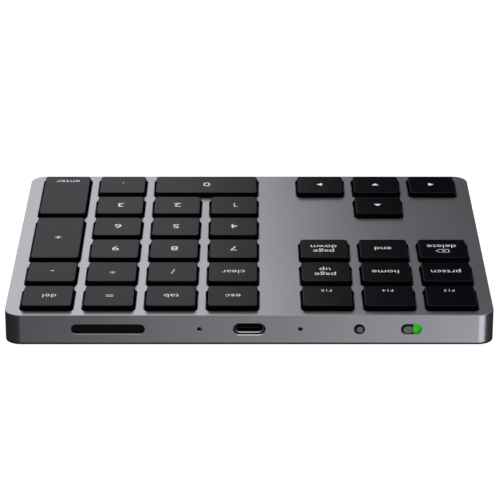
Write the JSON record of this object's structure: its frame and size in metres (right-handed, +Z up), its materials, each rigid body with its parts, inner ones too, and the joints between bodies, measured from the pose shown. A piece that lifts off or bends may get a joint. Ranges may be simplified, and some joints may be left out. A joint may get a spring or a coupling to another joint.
{
  "type": "numeric keypad",
  "caption": "Slim aluminium desktop keypad with a number block, navigation and arrow keys, square black keycaps, a rear charging socket, a slide switch and a small round button.",
  "frame": {"origin": "on the desk surface under the middle of the body, at the height of the feet's undersides", "axes": "+X towards the user's right, +Y towards the rear wall with the ports, +Z up out of the key tops; the user sits at -Y"},
  "size_m": [0.1496, 0.1182, 0.0119],
  "materials": {
    "anodised_case": "bead-blasted grey anodising",
    "cover_paint": "satin dark powder coat",
    "key_plastic": "fine matt black",
    "black_plastic": "smooth black",
    "switch_grey": "satin grey",
    "mark_green": "bright green",
    "rubber_feet": "soft matt",
    "bare_steel": "plain rolled",
    "spring_wire": "bright drawn",
    "clear_film": "clear film with printed traces",
    "silicone_domes": "translucent white",
    "circuit_board": "green solder mask",
    "battery_foil": "dull laminated foil",
    "lead_insulation": "red insulation",
    "light_pipe": "smoked moulded"
  },
  "bodies": {
    "case": {"bottom_cover": "cover_paint", "top_case": "anodised_case", "foot_front_left": "rubber_feet", "foot_front_right": "rubber_feet", "foot_rear_left": "rubber_feet", "foot_rear_right": "rubber_feet", "dome_sheet": "silicone_domes", "membrane_circuit": "clear_film", "support_plate": "bare_steel", "main_board": "circuit_board", "controller_chip": "black_plastic", "usb_c_shell": "bare_steel", "usb_c_tongue": "black_plastic", "charge_light_pipe": "light_pipe", "status_light_pipe": "light_pipe", "antenna_window": "black_plastic", "pairing_switch_body": "black_plastic", "power_switch_body": "bare_steel", "battery_pouch": "battery_foil", "battery_lead": "lead_insulation"},
    "power_slider": {"power_switch_slider": "switch_grey", "power_on_mark": "mark_green"},
    "pairing_button": {"pairing_button": "switch_grey"},
    "key_f13": {"key_f13": "key_plastic"},
    "key_f14": {"key_f14": "key_plastic"},
    "key_f15": {"key_f15": "key_plastic"},
    "key_escape": {"key_escape": "key_plastic"},
    "key_tab": {"key_tab": "key_plastic"},
    "key_equals": {"key_equals": "key_plastic"},
    "key_delete": {"key_delete": "key_plastic"},
    "key_print_screen": {"key_print_screen": "key_plastic"},
    "key_home": {"key_home": "key_plastic"},
    "key_page_up": {"key_page_up": "key_plastic"},
    "key_clear": {"key_clear": "key_plastic"},
    "key_divide": {"key_divide": "key_plastic"},
    "key_multiply": {"key_multiply": "key_plastic"},
    "key_minus": {"key_minus": "key_plastic"},
    "key_forward_delete": {"key_forward_delete": "key_plastic"},
    "key_end": {"key_end": "key_plastic"},
    "key_page_down": {"key_page_down": "key_plastic"},
    "key_7": {"key_7": "key_plastic"},
    "key_8": {"key_8": "key_plastic"},
    "key_9": {"key_9": "key_plastic"},
    "key_plus": {"key_plus": "key_plastic"},
    "key_4": {"key_4": "key_plastic"},
    "key_5": {"key_5": "key_plastic"},
    "key_6": {"key_6": "key_plastic"},
    "key_arrow_up": {"key_arrow_up": "key_plastic"},
    "key_1": {"key_1": "key_plastic"},
    "key_2": {"key_2": "key_plastic"},
    "key_3": {"key_3": "key_plastic"},
    "key_enter": {"key_enter": "key_plastic"},
    "key_arrow_left": {"key_arrow_left": "key_plastic"},
    "key_arrow_down": {"key_arrow_down": "key_plastic"},
    "key_arrow_right": {"key_arrow_right": "key_plastic"},
    "key_0": {"key_0": "key_plastic"},
    "key_decimal": {"key_decimal": "key_plastic"},
    "stabiliser_wire_0": {"stabiliser_wire_0": "spring_wire"},
    "stabiliser_wire_plus": {"stabiliser_wire_plus": "spring_wire"},
    "stabiliser_wire_enter": {"stabiliser_wire_enter": "spring_wire"}
  },
  "joints": [
    {"name": "key_f13_press", "type": "slide", "parent": "case", "child": "key_f13", "axis": [0, 0, -1], "range_m": [0, 0.0016], "stiffness_N_per_m": 200, "springref_m": -0.0012, "deforming": ["dome_sheet"]},
    {"name": "key_f14_press", "type": "slide", "parent": "case", "child": "key_f14", "axis": [0, 0, -1], "range_m": [0, 0.0016], "stiffness_N_per_m": 200, "springref_m": -0.0012, "deforming": ["dome_sheet"]},
    {"name": "key_f15_press", "type": "slide", "parent": "case", "child": "key_f15", "axis": [0, 0, -1], "range_m": [0, 0.0016], "stiffness_N_per_m": 200, "springref_m": -0.0012, "deforming": ["dome_sheet"]},
    {"name": "key_escape_press", "type": "slide", "parent": "case", "child": "key_escape", "axis": [0, 0, -1], "range_m": [0, 0.0016], "stiffness_N_per_m": 200, "springref_m": -0.0012, "deforming": ["dome_sheet"]},
    {"name": "key_tab_press", "type": "slide", "parent": "case", "child": "key_tab", "axis": [0, 0, -1], "range_m": [0, 0.0016], "stiffness_N_per_m": 200, "springref_m": -0.0012, "deforming": ["dome_sheet"]},
    {"name": "key_equals_press", "type": "slide", "parent": "case", "child": "key_equals", "axis": [0, 0, -1], "range_m": [0, 0.0016], "stiffness_N_per_m": 200, "springref_m": -0.0012, "deforming": ["dome_sheet"]},
    {"name": "key_delete_press", "type": "slide", "parent": "case", "child": "key_delete", "axis": [0, 0, -1], "range_m": [0, 0.0016], "stiffness_N_per_m": 200, "springref_m": -0.0012, "deforming": ["dome_sheet"]},
    {"name": "key_print_screen_press", "type": "slide", "parent": "case", "child": "key_print_screen", "axis": [0, 0, -1], "range_m": [0, 0.0016], "stiffness_N_per_m": 200, "springref_m": -0.0012, "deforming": ["dome_sheet"]},
    {"name": "key_home_press", "type": "slide", "parent": "case", "child": "key_home", "axis": [0, 0, -1], "range_m": [0, 0.0016], "stiffness_N_per_m": 200, "springref_m": -0.0012, "deforming": ["dome_sheet"]},
    {"name": "key_page_up_press", "type": "slide", "parent": "case", "child": "key_page_up", "axis": [0, 0, -1], "range_m": [0, 0.0016], "stiffness_N_per_m": 200, "springref_m": -0.0012, "deforming": ["dome_sheet"]},
    {"name": "key_clear_press", "type": "slide", "parent": "case", "child": "key_clear", "axis": [0, 0, -1], "range_m": [0, 0.0016], "stiffness_N_per_m": 200, "springref_m": -0.0012, "deforming": ["dome_sheet"]},
    {"name": "key_divide_press", "type": "slide", "parent": "case", "child": "key_divide", "axis": [0, 0, -1], "range_m": [0, 0.0016], "stiffness_N_per_m": 200, "springref_m": -0.0012, "deforming": ["dome_sheet"]},
    {"name": "key_multiply_press", "type": "slide", "parent": "case", "child": "key_multiply", "axis": [0, 0, -1], "range_m": [0, 0.0016], "stiffness_N_per_m": 200, "springref_m": -0.0012, "deforming": ["dome_sheet"]},
    {"name": "key_minus_press", "type": "slide", "parent": "case", "child": "key_minus", "axis": [0, 0, -1], "range_m": [0, 0.0016], "stiffness_N_per_m": 200, "springref_m": -0.0012, "deforming": ["dome_sheet"]},
    {"name": "key_forward_delete_press", "type": "slide", "parent": "case", "child": "key_forward_delete", "axis": [0, 0, -1], "range_m": [0, 0.0016], "stiffness_N_per_m": 200, "springref_m": -0.0012, "deforming": ["dome_sheet"]},
    {"name": "key_end_press", "type": "slide", "parent": "case", "child": "key_end", "axis": [0, 0, -1], "range_m": [0, 0.0016], "stiffness_N_per_m": 200, "springref_m": -0.0012, "deforming": ["dome_sheet"]},
    {"name": "key_page_down_press", "type": "slide", "parent": "case", "child": "key_page_down", "axis": [0, 0, -1], "range_m": [0, 0.0016], "stiffness_N_per_m": 200, "springref_m": -0.0012, "deforming": ["dome_sheet"]},
    {"name": "key_7_press", "type": "slide", "parent": "case", "child": "key_7", "axis": [0, 0, -1], "range_m": [0, 0.0016], "stiffness_N_per_m": 200, "springref_m": -0.0012, "deforming": ["dome_sheet"]},
    {"name": "key_8_press", "type": "slide", "parent": "case", "child": "key_8", "axis": [0, 0, -1], "range_m": [0, 0.0016], "stiffness_N_per_m": 200, "springref_m": -0.0012, "deforming": ["dome_sheet"]},
    {"name": "key_9_press", "type": "slide", "parent": "case", "child": "key_9", "axis": [0, 0, -1], "range_m": [0, 0.0016], "stiffness_N_per_m": 200, "springref_m": -0.0012, "deforming": ["dome_sheet"]},
    {"name": "key_plus_press", "type": "slide", "parent": "case", "child": "key_plus", "axis": [0, 0, -1], "range_m": [0, 0.0016], "stiffness_N_per_m": 200, "springref_m": -0.0012, "deforming": ["dome_sheet"]},
    {"name": "key_4_press", "type": "slide", "parent": "case", "child": "key_4", "axis": [0, 0, -1], "range_m": [0, 0.0016], "stiffness_N_per_m": 200, "springref_m": -0.0012, "deforming": ["dome_sheet"]},
    {"name": "key_5_press", "type": "slide", "parent": "case", "child": "key_5", "axis": [0, 0, -1], "range_m": [0, 0.0016], "stiffness_N_per_m": 200, "springref_m": -0.0012, "deforming": ["dome_sheet"]},
    {"name": "key_6_press", "type": "slide", "parent": "case", "child": "key_6", "axis": [0, 0, -1], "range_m": [0, 0.0016], "stiffness_N_per_m": 200, "springref_m": -0.0012, "deforming": ["dome_sheet"]},
    {"name": "key_arrow_up_press", "type": "slide", "parent": "case", "child": "key_arrow_up", "axis": [0, 0, -1], "range_m": [0, 0.0016], "stiffness_N_per_m": 200, "springref_m": -0.0012, "deforming": ["dome_sheet"]},
    {"name": "key_1_press", "type": "slide", "parent": "case", "child": "key_1", "axis": [0, 0, -1], "range_m": [0, 0.0016], "stiffness_N_per_m": 200, "springref_m": -0.0012, "deforming": ["dome_sheet"]},
    {"name": "key_2_press", "type": "slide", "parent": "case", "child": "key_2", "axis": [0, 0, -1], "range_m": [0, 0.0016], "stiffness_N_per_m": 200, "springref_m": -0.0012, "deforming": ["dome_sheet"]},
    {"name": "key_3_press", "type": "slide", "parent": "case", "child": "key_3", "axis": [0, 0, -1], "range_m": [0, 0.0016], "stiffness_N_per_m": 200, "springref_m": -0.0012, "deforming": ["dome_sheet"]},
    {"name": "key_enter_press", "type": "slide", "parent": "case", "child": "key_enter", "axis": [0, 0, -1], "range_m": [0, 0.0016], "stiffness_N_per_m": 200, "springref_m": -0.0012, "deforming": ["dome_sheet"]},
    {"name": "key_arrow_left_press", "type": "slide", "parent": "case", "child": "key_arrow_left", "axis": [0, 0, -1], "range_m": [0, 0.0016], "stiffness_N_per_m": 200, "springref_m": -0.0012, "deforming": ["dome_sheet"]},
    {"name": "key_arrow_down_press", "type": "slide", "parent": "case", "child": "key_arrow_down", "axis": [0, 0, -1], "range_m": [0, 0.0016], "stiffness_N_per_m": 200, "springref_m": -0.0012, "deforming": ["dome_sheet"]},
    {"name": "key_arrow_right_press", "type": "slide", "parent": "case", "child": "key_arrow_right", "axis": [0, 0, -1], "range_m": [0, 0.0016], "stiffness_N_per_m": 200, "springref_m": -0.0012, "deforming": ["dome_sheet"]},
    {"name": "key_0_press", "type": "slide", "parent": "case", "child": "key_0", "axis": [0, 0, -1], "range_m": [0, 0.0016], "stiffness_N_per_m": 200, "springref_m": -0.0012, "deforming": ["dome_sheet"]},
    {"name": "key_decimal_press", "type": "slide", "parent": "case", "child": "key_decimal", "axis": [0, 0, -1], "range_m": [0, 0.0016], "stiffness_N_per_m": 200, "springref_m": -0.0012, "deforming": ["dome_sheet"]},
    {"name": "stabiliser_wire_0_turn", "type": "hinge", "parent": "case", "child": "stabiliser_wire_0", "pos_m": [0.0146, -0.0477, 0.0086], "axis": [-1, 0, 0], "range_deg": [0, 17.59]},
    {"name": "stabiliser_wire_plus_turn", "type": "hinge", "parent": "case", "child": "stabiliser_wire_plus", "pos_m": [0.0617, 0.0002, 0.0086], "axis": [0, 1, 0], "range_deg": [0, 17.59]},
    {"name": "stabiliser_wire_enter_turn", "type": "hinge", "parent": "case", "child": "stabiliser_wire_enter", "pos_m": [0.0617, -0.0378, 0.0086], "axis": [0, 1, 0], "range_deg": [0, 17.59]},
    {"name": "power_slide", "type": "slide", "parent": "case", "child": "power_slider", "axis": [-1, 0, 0], "range_m": [0, 0.0022]},
    {"name": "pairing_press", "type": "slide", "parent": "case", "child": "pairing_button", "axis": [0, -1, 0], "range_m": [0, 0.0004], "stiffness_N_per_m": 400, "springref_m": -0.001}
  ],
  "couplings": [
    {"joint": "stabiliser_wire_0_turn", "follows": "key_0_press", "rad_per_m": 191.3},
    {"joint": "stabiliser_wire_plus_turn", "follows": "key_plus_press", "rad_per_m": 191.3},
    {"joint": "stabiliser_wire_enter_turn", "follows": "key_enter_press", "rad_per_m": 191.3}
  ]
}
